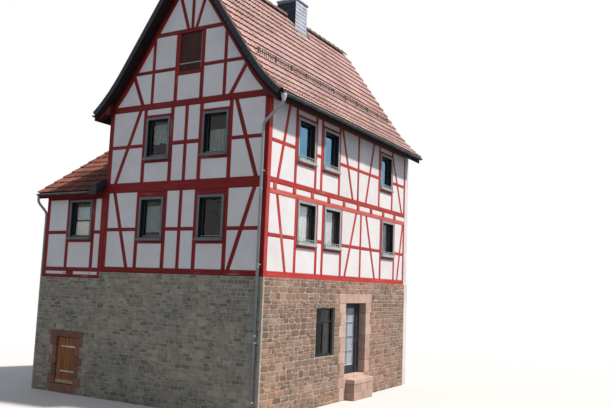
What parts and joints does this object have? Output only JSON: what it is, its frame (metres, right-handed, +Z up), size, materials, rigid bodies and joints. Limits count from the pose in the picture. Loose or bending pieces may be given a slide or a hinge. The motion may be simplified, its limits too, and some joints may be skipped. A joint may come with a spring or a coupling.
{
  "type": "half timbered house",
  "caption": "Tall narrow house with a stone ground storey, two timber framed storeys, a steep tiled roof, a low side wing and two doors that open.",
  "frame": {"origin": "at the lowest ground, 40 mm inside the gable's stone face, in line with the gable's timber face and under the main ridge", "axes": "+Z up; +Y runs back from the gable front to the party wall; +X to the right as one faces the gable, out of the eaves wall with the entrance"},
  "size_m": [9.33, 10.36, 13.98],
  "materials": {
    "rubble_stone": "rough coursed rubble, lime pointed",
    "sandstone": "dressed red sandstone, rubbed",
    "plaster": "smooth lime plaster, limewashed white",
    "timber_red": "hewn oak painted oxblood red",
    "floor_boards": "plain sawn boards",
    "stone_floor": "worn flags",
    "window_grey": "painted joinery, grey",
    "joinery_dark": "painted joinery, dark brown",
    "planks_brown": "oiled planks",
    "glass": "clear window glass",
    "clay_tile": "unglazed clay tiles",
    "slate": "split slate",
    "zinc": "weathered zinc sheet",
    "iron": "black forged iron"
  },
  "bodies": {
    "house": {"base_front_left": "rubble_stone", "base_front_over_door": "rubble_stone", "base_front_right": "rubble_stone", "base_east_south": "rubble_stone", "base_east_over_door": "rubble_stone", "base_east_north": "rubble_stone", "base_west": "rubble_stone", "party_wall": "plaster", "wing_base_west": "rubble_stone", "wing_north_wall": "plaster", "ground_floor": "stone_floor", "floor_storey2": "floor_boards", "floor_storey3": "floor_boards", "attic_floor": "floor_boards", "cellar_door_surround": "sandstone", "entrance_surround": "sandstone", "entrance_frame": "joinery_dark", "entrance_step": "sandstone", "shop_window_frame": "joinery_dark", "shop_window_glass": "glass", "gable_frame": "timber_red", "gable_infill": "plaster", "east_frame": "timber_red", "east_infill": "plaster", "west_frame": "timber_red", "west_infill": "plaster", "wing_front_frame": "timber_red", "wing_front_infill": "plaster", "wing_west_frame": "timber_red", "wing_west_infill": "plaster", "front_window_frames": "window_grey", "front_window_glass": "glass", "east_window_frames": "window_grey", "east_window_glass": "glass", "west_window_frames": "window_grey", "west_window_glass": "glass", "loft_door": "planks_brown", "roof_east": "clay_tile", "roof_west": "clay_tile", "wing_roof": "clay_tile", "ridge_tiles": "clay_tile", "verge_boards": "slate", "gutters": "zinc", "downpipes": "zinc", "snow_guard": "iron", "chimney": "slate", "cellar_hinge_pins": "iron", "entrance_hinge_pins": "iron"},
    "cellar_door_leaf": {"cellar_door": "planks_brown", "cellar_hinge_straps": "iron"},
    "entrance_door_leaf": {"entrance_door": "joinery_dark", "entrance_door_glass": "glass"}
  },
  "joints": [
    {"name": "cellar_door_swing", "type": "hinge", "parent": "house", "child": "cellar_door_leaf", "pos_m": [-3.807, -0.024, 0.97], "axis": [0, 0, 1], "range_deg": [0, 90]},
    {"name": "entrance_door_swing", "type": "hinge", "parent": "house", "child": "entrance_door_leaf", "pos_m": [2.725, 4.89, 1.85], "axis": [0, 0, 1], "range_deg": [0, 90]}
  ]
}
